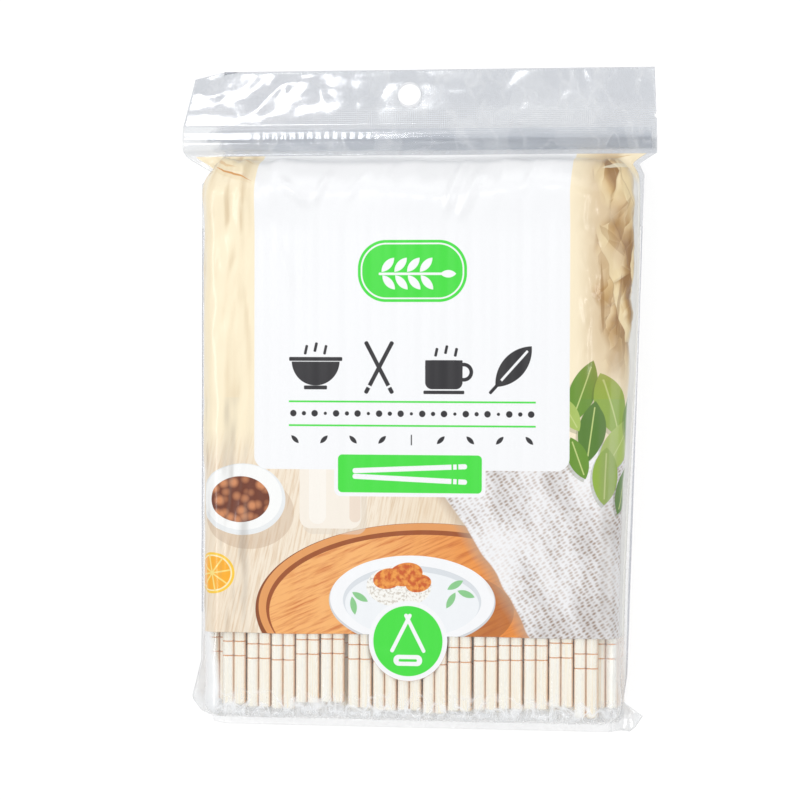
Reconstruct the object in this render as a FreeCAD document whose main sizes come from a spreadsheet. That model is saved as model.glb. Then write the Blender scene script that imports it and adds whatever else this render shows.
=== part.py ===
"""A shop pack of one hundred pairs of round bamboo chopsticks, lying on its back.

The pack is a flat film bag. A front and a back film are sealed together along both sides and the foot, and
a press-to-close zip runs under a header that has a round hang hole. Inside lie the pairs, each in a film
sleeve of its own, in layers. The thick ends of the sticks, with their two turned rings, lie at the foot.

Frame: millimetres, the back of the bag on Z = 0, Z up through the front, Y along the sticks towards the
header, X across. The origin is under the middle of the bag's length and width.
"""

import FreeCAD, Part
import os
import Sketcher

V = FreeCAD.Vector

SIZES = {
    # one chopstick
    "stick_length": 230.0,
    "stick_diameter": 5.5,
    "stick_chamfer": 0.6,
    "tip_diameter": 3.6,
    "taper_length": 80.0,
    "ring_from_end": 22.5,
    "ring_spacing": 6.6,
    "ring_width": 0.8,
    "ring_depth": 0.3,
    # the film sleeve round one pair
    "pair_gap": 0.03,
    "sleeve_film": 0.05,
    "sleeve_clearance": 0.03,
    "sleeve_gap": 0.03,
    "sleeve_closing": 1.0,
    "sleeve_seal": 1.2,
    # how the pairs lie in the bag
    "pairs_per_layer": 17.0,
    "front_slack": 0.8,
    "end_room": 2.6,
    "bundle_clearance": 0.1,
    # the filled part of the bag
    "bag_film": 0.12,
    "back_corner_radius": 2.5,
    "front_end_radius": 2.9,
    "shoulder_radius": 7.2,
    "end_wall_lean": 1.4,
    "slope_length": 18.8,
    "seam_height": 14.0,
    # the seals round it
    "bottom_seal": 4.0,
    "left_seal": 6.0,
    "right_seal_foot": 2.5,
    "right_seal_top": 9.5,
    "waist_height": 5.0,
    "waist_in": 4.5,
    # the zip band and the header
    "zip_band": 13.6,
    "zip_margin": 1.0,
    "zip_end_seal": 2.5,
    "zip_flange": 0.25,
    "zip_rail_height": 1.2,
    "zip_channel": 1.5,
    "zip_mouth": 0.8,
    "zip_lip": 0.3,
    "zip_wall": 0.4,
    "zip_fit": 0.05,
    "header_length": 25.3,
    "header_half_width": 110.8,
    "header_left_taper": 5.8,
    "header_right_taper": 1.2,
    "header_corner_length": 15.0,
    "header_corner_drop": 3.3,
    "hang_hole_diameter": 10.8,
    "hang_hole_drop": 12.0,
    "hang_hole_offset": 3.5,
    "tear_notch": 1.8,
    "tear_notch_rise": 3.5,
    # the loose corners at the foot of the bag
    "left_ear_reach": 4.0,
    "left_ear_height": 12.0,
    "left_ear_top": 30.0,
    "right_ear_reach": 4.0,
    "right_ear_height": 8.0,
    "right_ear_neck": 14.0,
    "right_neck_top": 26.0,
    "ear_foot_in": 5.0,
}

LAYER_COUNT = 6
FRONT_PAIRS = 15
# Hand-set places of the front layer, from left to right: how wide the gap after each pair is as a share of
# the free width, and how far each pair's thick ends stand off the middle of their room, in shares of it.
FRONT_GAPS = [2, 1, 1, 2, 6, 2, 1, 2, 1, 3, 1, 2, 1, 1]
FRONT_ENDS = [0.2, -0.2, -0.4, 0.7, 0.9, 0.0, -0.4, -0.2, -0.7, -0.2, 0.1, 0.3, 0.4, 0.9, -0.9]
# The layers behind take their ends from this list, each pair reading on from the pair before it. The
# pairs at the sides stand back from the rounded corners of the bag.
HIDDEN_ENDS = [0.4, -0.5, 0.1, 0.8, -0.2, -0.8, 0.6, -0.1, 0.3, -0.6, 0.2]
SIDE_END = 0.7

# How each drawing plane stands in the pack: the direction of the drawing's x, of its y and of its normal.
ALONG = (V(0, 1, 0), V(0, 0, 1), V(1, 0, 0))
ACROSS = (V(1, 0, 0), V(0, 0, 1), V(0, -1, 0))
PLAN = (V(1, 0, 0), V(0, 1, 0), V(0, 0, 1))

doc = FreeCAD.newDocument("chopstick_pack")


def make_sheet():
    """The driving dimensions, one named cell each."""
    cells = doc.addObject("Spreadsheet::Sheet", "Sizes")
    for row, (alias, value) in enumerate(SIZES.items(), start=1):
        cells.set(f"A{row}", alias)
        cells.set(f"B{row}", str(value))
        cells.setAlias(f"B{row}", alias)
    doc.recompute()
    return cells


def make_derived():
    """Sizes that follow from the driving ones, each a formula on the sheet or on an earlier line."""
    formulas = {
        "stick_pitch": "Sizes.stick_diameter + Sizes.pair_gap",
        "sleeve_height": "Sizes.stick_diameter + 2 * (Sizes.sleeve_clearance + Sizes.sleeve_film)",
        "sleeve_width": "Derived.sleeve_height + Derived.stick_pitch",
        "sleeve_corner": "Derived.sleeve_height * (1 - sqrt(2) / 2)",
        "sleeve_end": "Sizes.sleeve_closing + Sizes.sleeve_seal",
        "sleeve_length": "Sizes.stick_length + 2 * (Sizes.end_room + Derived.sleeve_end)",
        "sleeve_lean": "atan((Derived.sleeve_height / 2 - Sizes.sleeve_film) / Sizes.sleeve_closing) / 1deg",
        "pair_pitch": "Derived.sleeve_width + Sizes.sleeve_gap",
        "layer_pitch": "Derived.sleeve_height + Sizes.sleeve_gap",
        "wall_and_gap": "Sizes.bag_film + Sizes.bundle_clearance",
        "bundle_width": "Sizes.pairs_per_layer * Derived.pair_pitch - Sizes.sleeve_gap",
        "body_half_width": "Derived.bundle_width / 2 + Derived.wall_and_gap",
        "body_height": f"{LAYER_COUNT} * Derived.layer_pitch - Sizes.sleeve_gap + 2 * Derived.wall_and_gap",
        "front_corner_radius": "Derived.wall_and_gap + Derived.layer_pitch + Derived.sleeve_corner",
        "foot_corner_radius": "Derived.sleeve_end / (2 - sqrt(2))",
        "left_edge": "Derived.body_half_width + Sizes.left_seal",
        "right_edge": "Derived.body_half_width + Sizes.right_seal_top",
        "sleeve_start": "Sizes.bottom_seal + Sizes.end_wall_lean + Derived.wall_and_gap",
        "shoulder": "Derived.sleeve_start + Derived.sleeve_length",
        "zip_start": "Derived.shoulder + Sizes.slope_length",
        "zip_stop": "Derived.zip_start + Sizes.zip_band",
        "bag_length": "Derived.zip_stop + Sizes.header_length",
        "foot": "-Derived.bag_length / 2",
        "zip_half_height": "Sizes.zip_flange + (Sizes.zip_rail_height + Sizes.zip_fit) / 2",
        "zip_half_length": "Sizes.header_half_width - Sizes.zip_end_seal",
        "zip_strip_width": "Sizes.zip_band - 2 * (Sizes.zip_margin + Derived.zip_half_height)",
        "zip_middle": "Derived.zip_start + Sizes.zip_band / 2",
        "zip_floor": "Sizes.seam_height - Derived.zip_half_height",
    }
    values = doc.addObject("App::VarSet", "Derived")
    for name, formula in formulas.items():
        values.addProperty("App::PropertyFloat", name)
        values.setExpression(name, formula)
        doc.recompute()
    return values


sheet = make_sheet()
derived = make_derived()


def number(formula):
    """The present value of a formula on the document's sizes."""
    return float(sheet.evalExpression(str(formula)))


def draw_outline(sketch, corners):
    """Straight runs from corner to corner. A corner is (x, y), or (x, y, radius) where an arc rounds it.

    Each entry is a formula that the sketch keeps, so the outline follows the sizes."""
    count = len(corners)
    points = [V(number(corner[0]), number(corner[1]), 0) for corner in corners]
    for i in range(count):
        sketch.addGeometry(Part.LineSegment(points[i], points[(i + 1) % count]), False)
    for i in range(count):
        sketch.addConstraint(Sketcher.Constraint("Coincident", i, 2, (i + 1) % count, 1))
    bound = {}
    for i, corner in enumerate(corners):
        for kind, place, formula in zip(("DistanceX", "DistanceY"), points[i], corner):
            index = sketch.addConstraint(Sketcher.Constraint(kind, -1, 1, i, 1, place))
            sketch.renameConstraint(index, f"{kind}{i}")
            bound[f"{kind}{i}"] = formula
    for i, corner in enumerate(corners):
        if len(corner) == 3:
            radius = number(corner[2])
            sketch.fillet((i - 1) % count, 2, radius, True, True)
            arcs = [g for g, drawn in enumerate(sketch.Geometry) if isinstance(drawn, Part.ArcOfCircle)]
            index = sketch.addConstraint(Sketcher.Constraint("Radius", arcs[-1], radius))
            sketch.renameConstraint(index, f"Radius{i}")
            bound[f"Radius{i}"] = corner[2]
    for name, formula in bound.items():
        sketch.setExpression(f"Constraints.{name}", str(formula))


def outline(name, plane, corners, start=None):
    """A closed sketch on a drawing plane; start gives the formulas of its own zero along X, Y and Z."""
    sketch = doc.addObject("Sketcher::SketchObject", name)
    sketch.Placement = FreeCAD.Placement(V(0, 0, 0), FreeCAD.Rotation(*plane, "ZXY"))
    for axis, formula in (start or {}).items():
        sketch.setExpression(f"Placement.Base.{axis}", formula)
    draw_outline(sketch, corners)
    doc.recompute()
    return sketch


def extrude(source, direction, length, both_ways=False):
    """A closed outline drawn out into a solid by a length that is a formula."""
    solid = doc.addObject("Part::Extrusion", f"{source.Name}_run")
    solid.Base = source
    solid.DirMode = "Custom"
    solid.Dir = direction
    solid.Solid = True
    solid.Symmetric = both_ways
    solid.setExpression("LengthFwd", length)
    doc.recompute()
    return solid


def boolean(kind, name, shapes):
    """The common part or the union of several solids."""
    result = doc.addObject(kind, name)
    result.Shapes = shapes
    result.Refine = True
    doc.recompute()
    return result


def cut(name, base, tool):
    """One solid less another."""
    result = doc.addObject("Part::Cut", name)
    result.Base = base
    result.Tool = tool
    result.Refine = True
    doc.recompute()
    return result


def grown(source, wall, name):
    """The same outline, wider by a wall all round, or narrower if the wall is negative."""
    wider = doc.addObject("Part::Offset2D", name)
    wider.Source = source
    wider.setExpression("Value", wall)
    wider.Join = "Intersection"
    doc.recompute()
    return wider


def band(name, low, high):
    """A block wider and longer than the bag between two heights, which parts front from back."""
    block = doc.addObject("Part::Box", name)
    block.setExpression("Length", "4 * Derived.right_edge")
    block.setExpression("Width", "2 * Derived.bag_length")
    block.setExpression("Height", f"({high}) - ({low})")
    block.setExpression("Placement.Base.x", "-2 * Derived.right_edge")
    block.setExpression("Placement.Base.y", "-Derived.bag_length")
    block.setExpression("Placement.Base.z", low)
    doc.recompute()
    return block


def link(source, name, x, y, z):
    """A placed copy of a piece, its place given by formulas."""
    copy = doc.addObject("App::Link", name)
    copy.LinkedObject = source
    for axis, formula in (("x", x), ("y", y), ("z", z)):
        copy.setExpression(f"Placement.Base.{axis}", formula)
    return copy


def make_stick():
    """One chopstick along +Y from its thick end at zero, turned from one profile: a chamfered thick end, two
    ring grooves, a straight shank and a long taper to a chamfered tip."""
    body = doc.addObject("PartDesign::Body", "chopstick")
    profile = body.newObject("Sketcher::SketchObject", "stick_profile")
    plane = next(f for f in body.Origin.OriginFeatures if f.Role == "XY_Plane")
    profile.AttachmentSupport = [(plane, "")]
    profile.MapMode = "FlatFace"
    radius = "Sizes.stick_diameter / 2"
    tip = "Sizes.tip_diameter / 2"
    groove = f"{radius} - Sizes.ring_depth"
    corners = [("0", "0"), (f"{radius} - Sizes.stick_chamfer", "0"), (radius, "Sizes.stick_chamfer")]
    for ring in range(2):
        middle = f"Sizes.ring_from_end + {ring} * Sizes.ring_spacing"
        corners += [(radius, f"{middle} - Sizes.ring_width / 2"), (groove, middle)]
        corners += [(radius, f"{middle} + Sizes.ring_width / 2")]
    corners += [(radius, "Sizes.stick_length - Sizes.taper_length")]
    corners += [(tip, "Sizes.stick_length - Sizes.stick_chamfer")]
    corners += [(f"{tip} - Sizes.stick_chamfer", "Sizes.stick_length"), ("0", "Sizes.stick_length")]
    draw_outline(profile, corners)
    doc.recompute()
    turned = body.newObject("PartDesign::Revolution", "stick_turned")
    turned.Profile = profile
    turned.ReferenceAxis = (profile, ["V_Axis"])
    turned.Angle = 360
    doc.recompute()
    return body


def make_sleeve():
    """The film sleeve of one pair, along +Y from its end at zero, its middle on the Y axis.

    It is a flattened tube with chamfered edges, pressed flat into a seal at both ends, where its corners
    are cut back."""
    half = "Derived.sleeve_height / 2"
    film = "Sizes.sleeve_film"
    seal = "Sizes.sleeve_seal"
    end = "Derived.sleeve_end"
    length = "Derived.sleeve_length"
    fold = f"{film} * tan(Derived.sleeve_lean * 1deg / 2)"

    far_seal = f"{length} - {seal}"
    far_end = f"{length} - {end}"
    outer_side = [("0", f"-{film}"), (seal, f"-{film}"), (end, f"-{half}"), (far_end, f"-{half}")]
    outer_side += [(far_seal, f"-{film}"), (length, f"-{film}"), (length, film), (far_seal, film)]
    outer_side += [(far_end, half), (end, half), (seal, film), ("0", film)]
    inner_side = [(f"{seal} + {fold}", "0"), (f"{end} + {fold}", f"{film} - {half}")]
    inner_side += [(f"{far_end} - {fold}", f"{film} - {half}"), (f"{far_seal} - {fold}", "0")]
    inner_side += [(f"{far_end} - {fold}", f"{half} - {film}"), (f"{end} + {fold}", f"{half} - {film}")]

    across = "Derived.sleeve_width / 2"
    corner = "Derived.sleeve_corner"
    section = [(f"-{across} + {corner}", f"-{half}"), (f"{across} - {corner}", f"-{half}")]
    section += [(across, f"{corner} - {half}"), (across, f"{half} - {corner}")]
    section += [(f"{across} - {corner}", half), (f"-{across} + {corner}", half)]
    section += [(f"-{across}", f"{half} - {corner}"), (f"-{across}", f"{corner} - {half}")]

    plan = [(f"-{across} + {end}", "0"), (f"{across} - {end}", "0"), (across, end), (across, far_end)]
    plan += [(f"{across} - {end}", length), (f"-{across} + {end}", length)]
    plan += [(f"-{across}", far_end), (f"-{across}", end)]

    section_sketch = outline("sleeve_section", ACROSS, section)
    inner_section = grown(section_sketch, f"-{film}", "sleeve_inner_section")
    plan_sketch = outline("sleeve_plan", PLAN, plan)
    inner_plan = grown(plan_sketch, f"-{film}", "sleeve_inner_plan")
    solids = []
    drawn = (
        ("sleeve_outside", outer_side, section_sketch, plan_sketch),
        ("sleeve_inside", inner_side, inner_section, inner_plan),
    )
    for name, side, cross, top in drawn:
        side_sketch = outline(f"{name}_side", ALONG, side)
        side_run = extrude(side_sketch, V(1, 0, 0), "Derived.sleeve_width", both_ways=True)
        cross_run = extrude(cross, V(0, 1, 0), length)
        plan_run = extrude(top, V(0, 0, 1), "Derived.sleeve_height", both_ways=True)
        solids.append(boolean("Part::MultiCommon", name, [side_run, cross_run, plan_run]))
    return cut("sleeve", *solids)


def pair_places():
    """Where each pair lies, layer by layer from the back: (layer, place in it, x, share of the end room)."""
    places = []
    for layer in range(LAYER_COUNT - 1):
        row = []
        last = int(number("Sizes.pairs_per_layer")) - 1
        for place in range(last + 1):
            x = f"({place} - (Sizes.pairs_per_layer - 1) / 2) * Derived.pair_pitch"
            share = HIDDEN_ENDS[(layer * 5 + place * 3) % len(HIDDEN_ENDS)]
            if place in (0, last):
                share = SIDE_END
            row.append((x, share))
        places.append(row)
    front = []
    side_room = "(Derived.front_corner_radius + Sizes.front_slack)"
    first = f"{side_room} - Derived.body_half_width + Derived.sleeve_width / 2"
    free = f"(2 * (Derived.body_half_width - {side_room}) - {FRONT_PAIRS} * Derived.sleeve_width)"
    for place in range(FRONT_PAIRS):
        share = sum(FRONT_GAPS[:place]) / sum(FRONT_GAPS)
        front.append((f"{first} + {place} * Derived.sleeve_width + {share} * {free}", FRONT_ENDS[place]))
    places.append(front)
    return places


def make_pairs(stick, sleeve):
    """Every pair and its sleeve. The front layer's are pieces of their own, the others one group a layer."""
    pieces = []
    for layer, row in enumerate(pair_places()):
        z = f"Derived.wall_and_gap + {layer} * Derived.layer_pitch + Derived.sleeve_height / 2"
        sleeve_y = "Derived.foot + Derived.sleeve_start"
        layer_sticks = []
        layer_sleeves = []
        for place, (x, share) in enumerate(row):
            tag = f"{layer + 1}_{place + 1:02d}"
            stick_y = f"{sleeve_y} + Derived.sleeve_end + Sizes.end_room * (1 + {share})"
            sticks = []
            for side, sign in (("left", "-"), ("right", "+")):
                stick_x = f"{x} {sign} Derived.stick_pitch / 2"
                sticks.append(link(stick, f"stick_{tag}_{side}", stick_x, stick_y, z))
            cover = link(sleeve, f"sleeve_{tag}", x, sleeve_y, z)
            layer_sticks += sticks
            layer_sleeves.append(cover)
            if layer == LAYER_COUNT - 1:
                pieces.append(group(f"chopstick_pair_{place + 1:02d}", sticks))
                pieces.append(group(f"pair_sleeve_{place + 1:02d}", [cover]))
        if layer < LAYER_COUNT - 1:
            pieces.append(group(f"chopsticks_layer_{layer + 1}", layer_sticks))
            pieces.append(group(f"sleeves_layer_{layer + 1}", layer_sleeves))
    return pieces


def group(name, members):
    """Several separate solids kept as one piece."""
    whole = doc.addObject("Part::Compound", name)
    whole.Label = name
    whole.Links = members
    return whole


def make_pillow():
    """The filled part of the bag, as two solids: its outside, and its hollow, one film smaller all round."""
    start = "Sizes.bottom_seal"
    foot = f"{start} + Sizes.end_wall_lean"
    height = "Derived.body_height"
    side = [(start, "Sizes.seam_height"), (foot, "0", "Sizes.back_corner_radius")]
    side += [("Derived.shoulder", "0", "Sizes.shoulder_radius"), ("Derived.zip_start", "Sizes.seam_height")]
    side += [("Derived.shoulder", height, "Sizes.shoulder_radius"), (foot, height, "Sizes.front_end_radius")]

    half = "Derived.body_half_width"
    back_radius = "Sizes.back_corner_radius"
    front_radius = "Derived.front_corner_radius"
    section = [(f"-{half}", "0", back_radius), (half, "0", back_radius)]
    section += [(half, height, front_radius), (f"-{half}", height, front_radius)]

    foot_radius = "Derived.foot_corner_radius"
    plan = [(f"-{half}", start, foot_radius), (half, start, foot_radius)]
    plan += [(half, "Derived.zip_start"), (f"-{half}", "Derived.zip_start")]

    at_foot = {"y": "Derived.foot"}
    outlines = (
        (outline("bag_side", ALONG, side, at_foot), V(1, 0, 0), "2 * Derived.right_edge", True),
        (outline("bag_section", ACROSS, section, at_foot), V(0, 1, 0), "Derived.bag_length", False),
        (outline("bag_plan", PLAN, plan, at_foot), V(0, 0, 1), "4 * Derived.body_height", True),
    )
    outside = [extrude(*drawn) for drawn in outlines]
    inside = []
    for drawn, direction, length, both_ways in outlines:
        smaller = grown(drawn, "-Sizes.bag_film", f"{drawn.Name}_inner")
        inside.append(extrude(smaller, direction, length, both_ways))
    return boolean("Part::MultiCommon", "pillow", outside), boolean("Part::MultiCommon", "hollow", inside)


def make_flat_bag():
    """The whole bag's outline in plan, with its sealed edges, loose foot corners, waist, header and notch."""
    left = "-Derived.left_edge"
    body = "Derived.body_half_width"
    header = "Sizes.header_half_width"
    right_top = "Derived.right_edge"
    waist = "Derived.zip_start - Sizes.waist_height"
    notch = "Derived.zip_stop + Sizes.tear_notch_rise"
    taper = "Sizes.header_right_taper"
    corners = [
        (f"{left} + Sizes.ear_foot_in", "0"),
        (f"{right_top} - Sizes.ear_foot_in", "0"),
        (f"{body} + Sizes.left_seal + Sizes.right_ear_reach", "Sizes.right_ear_height"),
        (body, "Sizes.right_ear_neck"),
        (f"{body} + Sizes.right_seal_foot", "Sizes.right_neck_top"),
        (right_top, f"{waist} - Sizes.waist_height"),
        (f"{right_top} - Sizes.waist_in / 2", waist),
        (header, "Derived.zip_start"),
        (header, f"{notch} - Sizes.tear_notch / 2"),
        (f"{header} - Sizes.tear_notch", notch),
        (header, f"{notch} + Sizes.tear_notch / 2"),
        (f"{header} - {taper}", "Derived.bag_length"),
        (f"-{header} + Sizes.header_left_taper + Sizes.header_corner_length", "Derived.bag_length"),
        (f"-{header} + Sizes.header_left_taper", "Derived.bag_length - Sizes.header_corner_drop"),
        (f"-{header}", "Derived.zip_stop"),
        (f"-{header}", "Derived.zip_start"),
        (f"{left} + Sizes.waist_in", waist),
        (left, f"{waist} - Sizes.waist_height"),
        (left, "Sizes.left_ear_top"),
        (f"{left} - Sizes.left_ear_reach", "Sizes.left_ear_height"),
    ]
    return outline("flat_bag", PLAN, corners, {"y": "Derived.foot", "z": "Sizes.seam_height"})


def make_zip_pocket():
    """The room that the zip takes between the films, and its outside, one film larger."""
    near = "Derived.zip_start + Sizes.zip_margin"
    far = "Derived.zip_stop - Sizes.zip_margin"
    rise = "Derived.zip_half_height"
    seam = "Sizes.seam_height"
    low = f"{seam} - {rise}"
    high = f"{seam} + {rise}"
    corners = [(near, seam), (f"{near} + {rise}", low), (f"{far} - {rise}", low)]
    corners += [(far, seam), (f"{far} - {rise}", high), (f"{near} + {rise}", high)]
    inner = outline("zip_pocket", ALONG, corners, {"y": "Derived.foot"})
    outer = grown(inner, "Sizes.bag_film", "zip_cover")
    pocket = extrude(inner, V(1, 0, 0), "2 * Derived.zip_half_length", both_ways=True)
    cover = extrude(outer, V(1, 0, 0), "2 * (Derived.zip_half_length + Sizes.bag_film)", both_ways=True)
    return pocket, cover


def make_zip_strip(name, corners):
    """One moulded strip of the zip: a section drawn across the band and run along it."""
    body = doc.addObject("PartDesign::Body", name)
    body.Label = name
    section = body.newObject("Sketcher::SketchObject", f"{name}_section")
    plane = next(f for f in body.Origin.OriginFeatures if f.Role == "YZ_Plane")
    section.AttachmentSupport = [(plane, "")]
    section.MapMode = "FlatFace"
    draw_outline(section, corners)
    doc.recompute()
    run = body.newObject("PartDesign::Pad", f"{name}_run")
    run.Profile = section
    run.SideType = "Symmetric"
    run.setExpression("Length", "2 * Derived.zip_half_length")
    body.setExpression("Placement.Base.y", "Derived.foot + Derived.zip_middle")
    body.setExpression("Placement.Base.z", "Derived.zip_floor")
    doc.recompute()
    return body


def make_zip():
    """The two strips: a channel with lips on the back film, and a headed rib on the front film in it."""
    half = "Derived.zip_strip_width / 2"
    flange = "Sizes.zip_flange"
    top = f"{flange} + Sizes.zip_rail_height"
    channel = "Sizes.zip_channel / 2"
    mouth = "Sizes.zip_mouth / 2"
    under_lip = f"{top} - Sizes.zip_lip"
    right_side = [(half, "0"), (half, flange), (f"{channel} + Sizes.zip_wall", flange)]
    right_side += [(f"{channel} + Sizes.zip_wall", top), (mouth, top), (mouth, under_lip)]
    right_side += [(channel, under_lip), (channel, flange)]
    channel_strip = make_zip_strip("zip_channel_strip", mirrored(right_side))

    ceiling = "2 * Derived.zip_half_height"
    neck = f"{mouth} - Sizes.zip_fit"
    head = f"{channel} - Sizes.zip_fit"
    head_top = f"{under_lip} - Sizes.zip_fit"
    right_side = [(head, f"{flange} + Sizes.zip_fit"), (head, head_top), (neck, head_top)]
    right_side += [(neck, f"{ceiling} - {flange}"), (half, f"{ceiling} - {flange}"), (half, ceiling)]
    return [channel_strip, make_zip_strip("zip_rib_strip", mirrored(right_side))]


def mirrored(right_side):
    """A closed outline from its right half, listed from the middle outwards and round."""
    left_side = [(f"-({across})", up) for across, up in reversed(right_side)]
    return right_side + left_side


def make_films():
    """The front and the back film.

    Each is its half of the pillow's wall, joined to a flat sheet of the bag's whole outline and to the cover
    over the zip, with the hang hole punched through."""
    pillow, hollow = make_pillow()
    pocket, cover = make_zip_pocket()
    flat = make_flat_bag()
    seam = "Sizes.seam_height"
    hole = doc.addObject("Part::Cylinder", "hang_hole")
    hole.setExpression("Radius", "Sizes.hang_hole_diameter / 2")
    hole.setExpression("Height", f"2 * {seam}")
    hole.setExpression("Placement.Base.x", "-Sizes.hang_hole_offset")
    hole.setExpression("Placement.Base.y", "Derived.foot + Derived.bag_length - Sizes.hang_hole_drop")
    room = boolean("Part::MultiFuse", "room", [hollow, pocket, hole])
    films = []
    for name, low, high, up in (
        ("front_film", seam, "2 * Derived.body_height", V(0, 0, 1)),
        ("back_film", "-Derived.body_height", seam, V(0, 0, -1)),
    ):
        side = band(f"{name}_side", low, high)
        sheet_run = doc.addObject("Part::Extrusion", f"{name}_sheet")
        sheet_run.Base = flat
        sheet_run.DirMode = "Custom"
        sheet_run.Dir = up
        sheet_run.Solid = True
        sheet_run.setExpression("LengthFwd", "Sizes.bag_film")
        swell = boolean("Part::MultiFuse", f"{name}_swell", [pillow, cover])
        half = boolean("Part::MultiCommon", f"{name}_half", [swell, side])
        solid = boolean("Part::MultiFuse", f"{name}_solid", [half, sheet_run])
        film = cut(name, solid, room)
        film.Label = name
        films.append(film)
    return films


def check_and_write(pieces):
    """Stops on any failed object or shape, then writes each piece under its own name."""
    doc.recompute()
    for item in doc.Objects:
        failed = [state for state in item.State if state in ("Invalid", "Error")]
        if failed:
            raise RuntimeError(f"{item.Name} is {failed}")
    os.makedirs("parts", exist_ok=True)
    for piece in pieces:
        if piece.Shape.isNull() or not piece.Shape.isValid() or not piece.Shape.Solids:
            raise RuntimeError(f"{piece.Label} has no valid solid")
    for piece in pieces:
        piece.Shape.exportStep(f"parts/{piece.Label}.step")
        box = piece.Shape.BoundBox
        low = f"{box.XMin:.1f} {box.YMin:.1f} {box.ZMin:.1f}"
        high = f"{box.XMax:.1f} {box.YMax:.1f} {box.ZMax:.1f}"
        volume = piece.Shape.Volume / 1000
        print(f"{piece.Label}: {len(piece.Shape.Solids)} solids, {volume:.2f} cm3, {low} to {high}")


films = make_films()
zip_strips = make_zip()
pairs = make_pairs(make_stick(), make_sleeve())
check_and_write(films + zip_strips + pairs)
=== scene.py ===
"""Looks of a shop pack of bamboo chopsticks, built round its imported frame.

The pack lies on its back on a white floor and the camera looks down on it. Lengths are written in millimetres,
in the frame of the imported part: X across, Y along the sticks towards the header, Z up through the front.
"""

import math

import bpy
import numpy as np
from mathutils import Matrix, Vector


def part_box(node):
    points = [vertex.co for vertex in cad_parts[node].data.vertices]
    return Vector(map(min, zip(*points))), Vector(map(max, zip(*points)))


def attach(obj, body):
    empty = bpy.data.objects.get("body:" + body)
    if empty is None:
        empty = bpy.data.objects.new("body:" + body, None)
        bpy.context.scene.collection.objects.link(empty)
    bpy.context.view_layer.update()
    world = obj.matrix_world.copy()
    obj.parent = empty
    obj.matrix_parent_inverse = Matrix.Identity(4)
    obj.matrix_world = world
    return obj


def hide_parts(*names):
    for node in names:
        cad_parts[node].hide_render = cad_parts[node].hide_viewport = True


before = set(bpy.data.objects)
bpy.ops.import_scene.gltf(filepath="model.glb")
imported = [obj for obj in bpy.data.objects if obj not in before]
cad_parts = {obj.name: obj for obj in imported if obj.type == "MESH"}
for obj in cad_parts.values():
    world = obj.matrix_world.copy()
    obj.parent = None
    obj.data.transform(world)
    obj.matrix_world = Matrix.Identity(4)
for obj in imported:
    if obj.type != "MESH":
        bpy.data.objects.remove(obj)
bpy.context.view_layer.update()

MM = 0.001

# The bag in its own drawing: y is measured from the foot of the bag, and FOOT is where that lies.
FOOT = -151.46
SEAM = 14.0
FILM = 0.12
SEAM_GAP = 0.08
FRONT_HEIGHT = 20.5
BACK_HEIGHT = 13.93
WALL_X = 95.6
FRONT_CORNER = 7.6
BACK_CORNER = 2.6
FOOT_SEAL = 4.0
FOOT_LEAN = 1.4
FOOT_ROUND = 2.9
SHOULDER_Y = 245.2
SHOULDER_RUN = 3.8
SHOULDER_POWER = 1.6
ZIP_START = 264.0
BAG_LENGTH = 302.92
PLAN_ROUND = 8.5
FILLED_FROM = 0.35
FLAT_SHARE = 0.98
FIN_WIDTH = 6.0
RIGHT_SWELL = 2.4
RIGHT_LEAN = 4.5
LEFT_LEAN = 1.5
ABOVE_FLOOR = 0.07
FRONT_GRID = (176, 150)
BACK_GRID = (120, 110)

# The side edges of the flat bag, from the foot up: (y, how far the edge lies from the middle).
LEFT_EDGE = [(0, 96.6), (12, 105.6), (30, 101.6), (251, 101.6), (256, 96.4), (262.4, 107.6), (264, 109.4),
             (266.4, 110.8), (277.6, 110.8), (299.6, 105.0), (302.92, 90.0)]
RIGHT_EDGE = [(0, 100.1), (8, 105.6), (14, 96.2), (26, 98.1), (254, 105.1), (259, 102.8), (264, 110.8),
              (280.2, 110.6), (281.1, 108.8), (282.0, 110.5), (302.92, 109.6)]
HOLE_AT = (-3.5, 139.46)
HOLE_RADIUS = 5.4
HOLE_SLIP = (-0.35, 1.1)

# The printed front: where the colour stops at the zip, above the clear window and down the sides.
PRINT_TOP = 112.2
PRINT_FOOT = -107.3
PRINT_SIDE = 114.5
PRINT_REACH = (130, 160)
# painted light: from this width out, near-white is laid over the print on the side walls
WALL_GLARE_FROM = 101.0
EDGE_LINE = 117.6
EDGE_SHIFT = 0.4
MARK_AT = (0.2, -109.8)
MARK_RIM = 18.2

# The print is cut into zones at these places, so that each material holds only the motifs near it.
ZONE_X = [-56, -20, 20, 58]
ZONE_Y = [-100, -74, -46, -23, 0, 32, 78, 114]
ZONE_MARGIN = 4.0
LEFT_FOLDS_TO, RIGHT_FOLDS_FROM = -55, 57
FLAP_FROM = 100
FILM_TINT = (0.996, 0.996, 0.997, 1)
SLEEVE_TINT = (0.997, 0.997, 0.998, 1)
HEADER_TINT = (0.890, 0.897, 0.910, 1)
# The rail is tinted darker on the right than on the left: painted shade for the dark reflection it shows there.
ZIP_TINT = (0.80, 0.81, 0.825, 1)
ZIP_TINT_LEFT = (0.930, 0.934, 0.942, 1)
EDGE_TINT = (0.76, 0.77, 0.80, 1)
FILM_IOR = 1.5
FILM_GLOSS = 0.1

# The pairs in their sleeves.
PAIR_COUNT = 15
HIDDEN_LAYERS = 5
PAIRS_PER_LAYER = 17
PAIR_PITCH = 11.22
SLEEVE_HALF_WIDTH = 5.595
SLEEVE_HALF_HEIGHT = 2.83
STICK_PITCH = 5.53
STICK_RADIUS = 2.75
PRESS_GAP = 0.15

# The floor, in metres.
FLOOR_REACH = 3.0
FLOOR_Z = -0.0004


# Numbers that look random but are the same in every run

TABLE_SIZE = 64
table = np.random.default_rng(7).random((TABLE_SIZE, TABLE_SIZE))


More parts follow.
